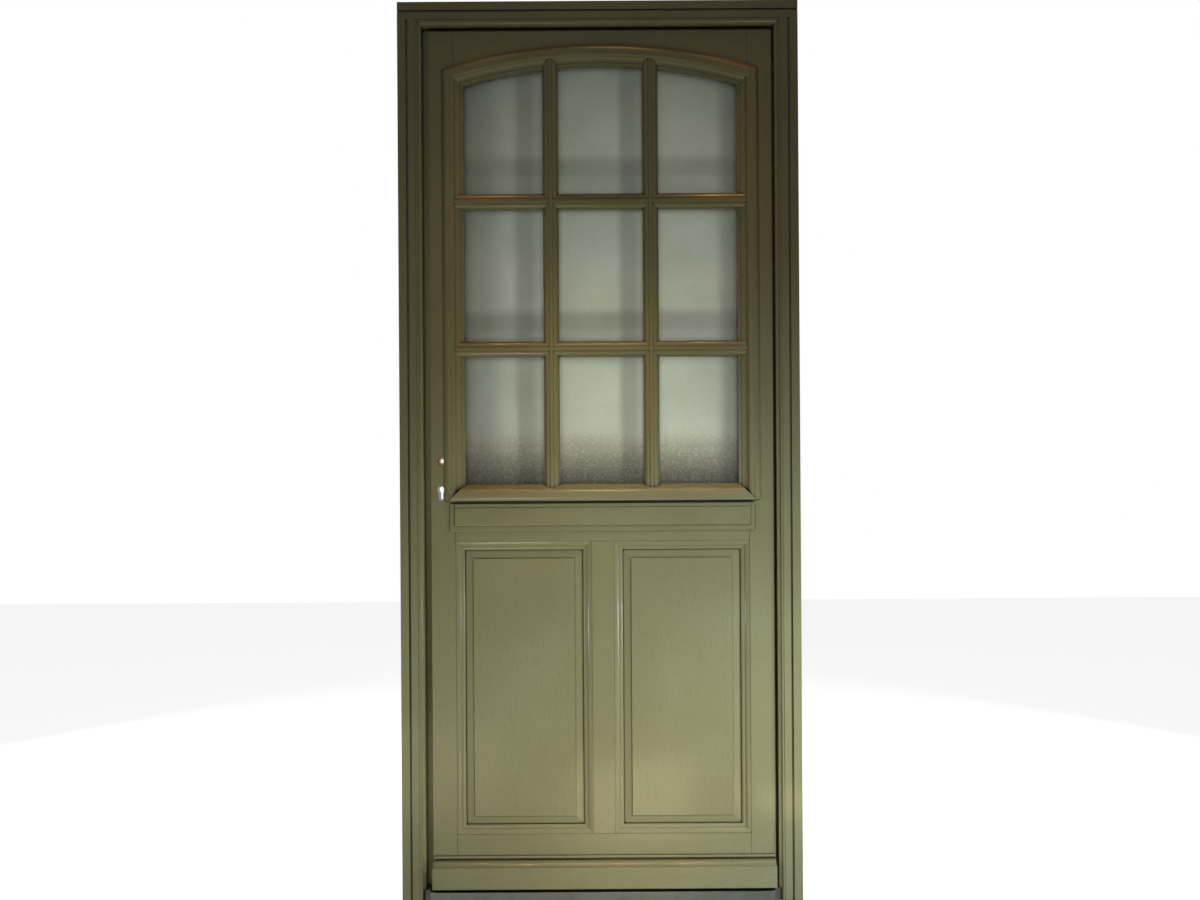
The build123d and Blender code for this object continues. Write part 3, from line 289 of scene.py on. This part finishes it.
def obscure_glass():
    """Rolled glass with round grains, painted shade across and up the pane, grit and painted
    sparkle at its foot.
    """
    finish, tree, output = new_finish("granular_obscure_glass")
    place = add_node(tree, "ShaderNodeTexCoord").outputs["Object"]
    grains = add_node(
        tree, "ShaderNodeTexVoronoi", {"Vector": place, "Scale": 1 / GRAIN_SIZE},
    )
    grain_dents = add_node(
        tree, "ShaderNodeBump",
        {"Height": grains.outputs["Distance"], "Strength": 0.6, "Distance": GRAIN_DEPTH},
    )
    frost = add_node(
        tree, "ShaderNodeTexNoise", {"Vector": place, "Scale": 2 / GRAIN_SIZE, "Detail": 2.0},
    )
    frost_dents = add_node(
        tree, "ShaderNodeBump",
        {"Height": frost.outputs["Fac"], "Strength": 0.4, "Distance": FROST_DEPTH,
         "Normal": grain_dents.outputs[0]},
    )
    haze = add_node(
        tree, "ShaderNodeTexNoise", {"Vector": place, "Scale": 1 / HAZE_PATCH, "Detail": 2.0},
    )
    tint = add_node(tree, "ShaderNodeValToRGB", {0: haze.outputs["Fac"]})
    set_ramp(tint, HAZE_TONES)
    # Grit browns the foot of the pane, and its palest specks are a painted sparkle.
    specks = add_node(
        tree, "ShaderNodeTexNoise", {"Vector": place, "Scale": 1 / SPECK_SIZE, "Detail": 1.0},
    )
    grit_and_sparkle = add_node(tree, "ShaderNodeValToRGB", {0: specks.outputs["Fac"]})
    set_ramp(grit_and_sparkle, GRIT_AND_SPARKLE_TONES)
    axes = add_node(tree, "ShaderNodeSeparateXYZ", {0: place})
    grit_and_sparkle_share = add_node(
        tree, "ShaderNodeMapRange",
        {"Value": axes.outputs["Z"], "From Min": GLASS_LOW[2],
         "From Max": GLASS_LOW[2] + GRIT_AND_SPARKLE_HEIGHT, "To Min": 1.0, "To Max": 0.1},
    )
    # Painted shade: the two ramps darken the pane beside and above the bars, at its rim and in
    # its upper part.
    across = shade_along(tree, axes.outputs["X"], GLASS_LOW[0], GLASS_HIGH[0], SHADE_ACROSS)
    upward = shade_along(tree, axes.outputs["Z"], GLASS_LOW[2], GLASS_HIGH[2], SHADE_UPWARD)
    colour = tint.outputs[0]
    for layer, share in ((across, 1.0), (upward, 1.0), (grit_and_sparkle.outputs[0], grit_and_sparkle_share.outputs[0])):
        darkened = add_node(
            tree, "ShaderNodeMix", {"Factor": share, "A": colour, "B": layer},
            data_type="RGBA", blend_type="MULTIPLY",
        )
        colour = darkened.outputs["Result"]
    glass = add_node(
        tree, "ShaderNodeBsdfPrincipled",
        {"Base Color": colour, "Roughness": 0.7, "IOR": GLASS_IOR,
         "Transmission Weight": 0.75, "Normal": frost_dents.outputs[0]},
    )
    tree.links.new(glass.outputs[0], output.inputs[0])
    return finish


finish_of_slot["obscure_glass"] = obscure_glass()
print("glass grain in mm:", round(GRAIN_SIZE / MM, 1))

# %% [markdown]
# ## Clear float glass
# The inner pane is plain float glass, which is flat and clear, with a breath of green that shows
# at its edges. A film of dust in broad patches makes it a little less than perfectly smooth.

# %% Clear glass


def float_glass():
    """Clear glass with a faint film of dust."""
    finish, tree, output = new_finish("clear_float_glass")
    place = add_node(tree, "ShaderNodeTexCoord").outputs["Object"]
    film = add_node(
        tree, "ShaderNodeTexNoise", {"Vector": place, "Scale": 1 / HAZE_PATCH, "Detail": 3.0},
    )
    dust = add_node(
        tree, "ShaderNodeMapRange", {"Value": film.outputs["Fac"], "To Min": 0.0, "To Max": 0.08},
    )
    glass = add_node(
        tree, "ShaderNodeBsdfPrincipled",
        {"Base Color": linear("#EEF2EE"), "Roughness": dust.outputs[0], "IOR": GLASS_IOR,
         "Transmission Weight": 1.0},
    )
    tree.links.new(glass.outputs[0], output.inputs[0])
    return finish


finish_of_slot["clear_glass"] = float_glass()
print("glass finishes:", [finish.name for finish in finish_of_slot.values()])

# %% [markdown]
# ## Metals
# All the metals are one recipe: a metal whose shine changes along fine lines, left by the tool
# that made it, and whose colour changes in patches, where it has dulled. Extruded aluminium has
# long die lines, and outdoors it goes dark grey. Zinc plate on the strikes and hinges is bright
# but blotchy, and the pressed steel of the lock cases is darker. Nickel plate on the bolts is the
# smoothest. Turned brass has short lines round the follower, and the spacer between the panes is
# dull.

# %% Recipe for a metal
DULL_PATCH = 30 * MM
LINE_DEPTH = 0.03 * MM
SHINIER_LINE, DULLER_LINE = 0.08, 0.12


def metal(name, colour, worn, dull, line_width, line_length, along):
    """A metal with fine lines along X or Z and patches where it has dulled."""
    finish, tree, output = new_finish(name)
    place = add_node(tree, "ShaderNodeTexCoord").outputs["Object"]
    line_space = add_node(
        tree, "ShaderNodeMapping",
        {"Vector": place, "Scale": stretched(line_length, line_width, along)},
    )
    lines = add_node(
        tree, "ShaderNodeTexNoise",
        {"Vector": line_space.outputs[0], "Scale": 1.0, "Detail": 3.0},
    )
    patches = add_node(
        tree, "ShaderNodeTexNoise", {"Vector": place, "Scale": 1 / DULL_PATCH, "Detail": 4.0},
    )
    tone = add_node(
        tree, "ShaderNodeMix",
        {"Factor": patches.outputs["Fac"], "A": linear(colour), "B": linear(worn)},
        data_type="RGBA",
    )
    dullness = add_node(
        tree, "ShaderNodeMapRange",
        {"Value": lines.outputs["Fac"], "To Min": dull - SHINIER_LINE,
         "To Max": dull + DULLER_LINE},
    )
    scores = add_node(
        tree, "ShaderNodeBump",
        {"Height": lines.outputs["Fac"], "Strength": 0.25, "Distance": LINE_DEPTH},
    )
    surface = add_node(
        tree, "ShaderNodeBsdfPrincipled",
        {"Base Color": tone.outputs["Result"], "Metallic": 1.0, "Roughness": dullness.outputs[0],
         "Normal": scores.outputs[0]},
    )
    tree.links.new(surface.outputs[0], output.inputs[0])
    return finish


print("dulled patches in mm:", round(DULL_PATCH / MM))

# %% The six metals
METALS = {
    "aluminium": ("extruded_aluminium", "#5C615D", "#4C504C", 0.36, 0.5 * MM, 300 * MM, "X"),
    "zinc_plate": ("zinc_plated_steel", "#B9BABA", "#9FA1A3", 0.34, 0.6 * MM, 8 * MM, "Z"),
    "lock_steel": ("pressed_steel_case", "#8C8D8E", "#737476", 0.42, 0.6 * MM, 40 * MM, "Z"),
    "bolt_steel": ("nickel_plated_bolt", "#C9C6BE", "#B5B1A7", 0.2, 0.4 * MM, 10 * MM, "X"),
    "brass": ("turned_brass", "#C8A768", "#A98A50", 0.28, 0.4 * MM, 6 * MM, "X"),
    "spacer_aluminium": ("spacer_aluminium", "#A9AAA8", "#96978F", 0.5, 0.5 * MM, 200 * MM, "Z"),
}
for slot_name, recipe in METALS.items():
    finish_of_slot[slot_name] = metal(*recipe)
print("metals:", [finish_of_slot[slot_name].name for slot_name in METALS])

# %% [markdown]
# ## Plastics and rubber
# The threshold's end caps and the glass blocks are moulded plastic with a fine spark-eroded
# grain. The seals are extruded rubber, nearly black. Both are dull, and both pick up a little
# brown dust.

# %% Moulded plastic and seal rubber
DUST_PATCH = 12 * MM
MOULD_DEPTH = 0.05 * MM
MOULDINGS = {
    "dark_plastic": ("moulded_dark_plastic", "#2A2824", "#3A372F", 0.5, 0.5 * MM),
    "seal_rubber": ("extruded_seal_rubber", "#1E1D1B", "#2B2A26", 0.6, 0.8 * MM),
}


def moulded(name, colour, dusty, dull, grain):
    """A moulded or extruded surface with a fine even grain and a little dust."""
    finish, tree, output = new_finish(name)
    place = add_node(tree, "ShaderNodeTexCoord").outputs["Object"]
    texture = add_node(
        tree, "ShaderNodeTexNoise", {"Vector": place, "Scale": 1 / grain, "Detail": 2.0},
    )
    dust = add_node(
        tree, "ShaderNodeTexNoise", {"Vector": place, "Scale": 1 / DUST_PATCH, "Detail": 5.0},
    )
    tone = add_node(
        tree, "ShaderNodeMix",
        {"Factor": dust.outputs["Fac"], "A": linear(colour), "B": linear(dusty)},
        data_type="RGBA",
    )
    dents = add_node(
        tree, "ShaderNodeBump",
        {"Height": texture.outputs["Fac"], "Strength": 0.4, "Distance": MOULD_DEPTH},
    )
    surface = add_node(
        tree, "ShaderNodeBsdfPrincipled",
        {"Base Color": tone.outputs["Result"], "Roughness": dull, "Normal": dents.outputs[0]},
    )
    tree.links.new(surface.outputs[0], output.inputs[0])
    return finish


for slot_name, recipe in MOULDINGS.items():
    finish_of_slot[slot_name] = moulded(*recipe)
print("plastic and rubber:", [finish_of_slot[slot_name].name for slot_name in MOULDINGS])

# %% [markdown]
# ## Each part gets its finish
# The record names a slot for every part. Painted parts take the grain of their wood: rails, head,
# sill, bars across, plaque and weatherboard run level, everything else runs upright.

# %% Hand out the finishes
LEVEL_GRAIN = {
    "frame_head", "rail_bottom", "rail_mid", "rail_top", "glazing_moulding_arch",
    "glazing_moulding_sill", "bars_outer_lower", "bars_outer_upper", "bars_inner_lower",
    "bars_inner_upper", "glazing_bead_arch", "glazing_bead_foot", "belt_plaque", "weatherboard",
}
slot_of = {part["node"]: part["material_slot"] for part in frame["record"]["subparts"]}
for name, part in nodes.items():
    if slot_of[name] == "green_paint":
        finish = paint_level if name in LEVEL_GRAIN else paint_upright
    else:
        finish = finish_of_slot[slot_of[name]]
    for slot in part.material_slots:
        slot.material = finish
print("parts with a finish:", sum(1 for part in nodes.values() if part.material_slots))

# %% [markdown]
# ## Floor and background
# The door stands on a pale floor. A brighter lamp would whiten the floor, but it would also
# bleach the door. So the floor and the surroundings are white only to a ray that comes from the
# camera, from a shiny surface or through glass. Every other ray finds a plain floor and a very
# dim room, and the lamps alone light the door.

# %% What a ray sees


def seen_directly(tree):
    """One where a ray comes from the camera, from a shiny surface or through glass, else zero."""
    path = add_node(tree, "ShaderNodeLightPath")
    seen = add_node(
        tree, "ShaderNodeMath",
        {0: path.outputs["Is Camera Ray"], 1: path.outputs["Is Glossy Ray"]}, operation="MAXIMUM",
    )
    seen_or_through = add_node(
        tree, "ShaderNodeMath",
        {0: seen.outputs[0], 1: path.outputs["Is Transmission Ray"]}, operation="MAXIMUM",
    )
    return seen_or_through.outputs[0]


print("rays that see white: camera, glossy, transmission")

# %% Floor
FLOOR_SIZE = 14.0
FLOOR_TONE = "#C9C9C6"
FLOOR_GLOW = 0.9
half_floor = FLOOR_SIZE / 2
floor_mesh = bpy.data.meshes.new("floor")
floor_mesh.from_pydata(
    [(-half_floor, -half_floor, 0), (half_floor, -half_floor, 0),
     (half_floor, half_floor, 0), (-half_floor, half_floor, 0)], [], [(0, 1, 2, 3)],
)
floor = bpy.data.objects.new("floor", floor_mesh)
bpy.context.scene.collection.objects.link(floor)

floor_finish, tree, output = new_finish("pale_floor")
lit = add_node(tree, "ShaderNodeBsdfDiffuse", {"Color": linear(FLOOR_TONE)})
glow = add_node(
    tree, "ShaderNodeEmission", {"Color": linear("#FFFFFF"), "Strength": FLOOR_GLOW},
)
shown = add_node(tree, "ShaderNodeAddShader", {0: lit.outputs[0], 1: glow.outputs[0]})
floor_mix = add_node(
    tree, "ShaderNodeMixShader", {0: seen_directly(tree), 1: lit.outputs[0], 2: shown.outputs[0]},
)
tree.links.new(floor_mix.outputs[0], output.inputs[0])
floor_mesh.materials.append(floor_finish)
print("floor, metres across:", FLOOR_SIZE)

# %% Surroundings
AMBIENT_TONE = "#E8E6DE"
AMBIENT_STRENGTH = 0.02
world = bpy.data.worlds.new("studio")
bpy.context.scene.world = world
world.use_nodes = True
tree = world.node_tree
tree.nodes.clear()
white = add_node(tree, "ShaderNodeBackground", {"Color": linear("#FFFFFF"), "Strength": 1.0})
ambient = add_node(
    tree, "ShaderNodeBackground", {"Color": linear(AMBIENT_TONE), "Strength": AMBIENT_STRENGTH},
)
surroundings = add_node(
    tree, "ShaderNodeMixShader",
    {0: seen_directly(tree), 1: ambient.outputs[0], 2: white.outputs[0]},
)
add_node(tree, "ShaderNodeOutputWorld", {0: surroundings.outputs[0]})
print("ambient strength:", AMBIENT_STRENGTH)

# %% [markdown]
# ## Light on the front of the door
# In the photograph the light comes low and from the right, and the top of the door is dim. One
# large lamp could give that fall of light, but not its colours, which are warm from below, cool
# from the side and amber from above. So each direction has a soft lamp or two of its own. The two
# narrow amber ones hang in front of the frame's head and clear of it, so that they only catch the
# upward slopes of the bars and the sill.

# %% Lamps in front
LAMPS = [
    # name, place, aim, size in metres, colour, power in watts, width of the cone in degrees
    ("ground_glow_lamp", (0.65, -0.9, 0.02), (0.65, -0.9, 1.0), 0.35, "#FFF0A8", 4.7, 180),
    ("porch_sky_lamp", (1.5, -2.4, 2.0), (0.35, 0.0, 0.35), 0.4, "#E4EEFF", 4.4, 40),
    ("right_side_lamp", (1.4, -0.7, 0.5), (0.42, 0.0, 0.45), 0.12, "#E8F2FF", 1.3, 60),
    ("left_side_lamp", (-1.2, -0.7, 0.5), (-0.3, 0.0, 0.5), 0.08, "#F2F8FF", 0.45, 60),
    ("left_foot_lamp", (-0.5, -0.8, 0.08), (-0.4, 0.0, 0.4), 0.4, "#FFF2CC", 0.75, 120),
    ("threshold_lamp", (0.1, -0.55, 0.06), (0.05, 0.0, 0.2), 0.3, "#FFEBB8", 0.85, 130),
    ("ground_left_lamp", (-0.3, -1.4, 0.05), (-0.2, 0.0, 1.25), 0.3, "#FFF6D8", 0.8, 45),
    ("porch_ceiling_lamp", (0.1, -0.5, 3.4), (0.0, 0.0, 1.2), 0.3, "#FFB860", 0.7, 90),
    ("sill_lamp", (0.0, -0.3, 1.75), (0.0, -0.02, 1.0), 0.2, "#FFDCA0", 0.3, 60),
    ("left_glint_lamp", (-0.3, -0.15, 2.6), (-0.25, -0.08, 1.2), 0.08, "#FFB45C", 0.15, 26),
    ("right_glint_lamp", (0.34, -0.15, 2.6), (0.28, -0.08, 1.2), 0.08, "#FFB45C", 0.18, 26),
]


def hang_lamp(name, place, aim, size, colour, power, spread):
    """A square soft lamp at a place, turned towards another, that lights a cone of some width."""
    data = bpy.data.lights.new(name, "AREA")
    data.size = size
    data.spread = radians(spread)
    data.color = linear(colour)[:3]
    data.energy = power
    made = bpy.data.objects.new(name, data)
    made.location = place
    made.visible_camera = False
    direction = Vector(aim) - Vector(place)
    made.rotation_euler = direction.to_track_quat("-Z", "Y").to_euler()
    bpy.context.scene.collection.objects.link(made)
    return made


front_lamps = [hang_lamp(*settings) for settings in LAMPS]
print("lamps in front:", len(front_lamps))

# %% [markdown]
# ## Light in the room behind
# The panes glow because the room behind them is brighter than the side that the camera stands on.
# Two equal lamps stand in it, left and right, so that neither shows as a spot through the pane.
# They are left out of mirror images, because they would show there as hard bright squares.

# %% Lamps in the room
ROOM_LAMP_OUT, ROOM_LAMP_BACK, ROOM_LAMP_HEIGHT = 2.4, 1.6, 1.3
ROOM_AIM = (0.0, 0.0, 1.1)
ROOM_LAMP_SIZE, ROOM_POWER = 1.2, 45
for name, side in (("left_room_lamp", -1), ("right_room_lamp", 1)):
    stand = (side * ROOM_LAMP_OUT, ROOM_LAMP_BACK, ROOM_LAMP_HEIGHT)
    room_lamp = hang_lamp(name, stand, ROOM_AIM, ROOM_LAMP_SIZE, "#FFFFFF", ROOM_POWER, 180)
    room_lamp.visible_glossy = False
    print(name, "at", stand)

# %% [markdown]
# ## Colour handling
# The plain Standard view keeps the written colours.

# %% View settings
bpy.context.scene.view_settings.view_transform = "Standard"
